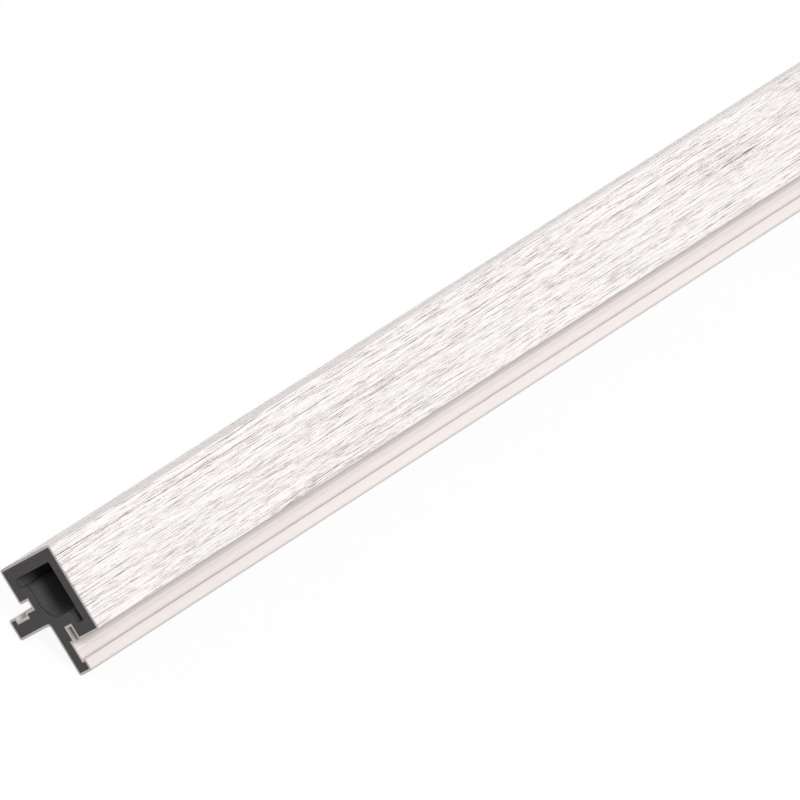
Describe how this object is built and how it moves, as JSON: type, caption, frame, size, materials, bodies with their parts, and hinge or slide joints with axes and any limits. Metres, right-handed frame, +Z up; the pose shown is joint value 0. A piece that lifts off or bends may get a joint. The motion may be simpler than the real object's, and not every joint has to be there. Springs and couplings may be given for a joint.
{
  "type": "composite corner trim",
  "caption": "Outside corner trim for composite cladding: hollow square box with two flanges, grained pale cap over a dark core.",
  "frame": {"origin": "on the floor, below the ridge, halfway along the stock", "axes": "+X along the stock, +Z up through the ridge; the trim lies on the tips of its two flanges, and the two grained faces look up to either side of the XZ plane"},
  "size_m": [2.438, 0.0634, 0.0656],
  "materials": {
    "composite_core": "matte",
    "pale_cap": "matte"
  },
  "bodies": {
    "root": {"core": "composite_core", "cap": "pale_cap"}
  },
  "joints": []
}
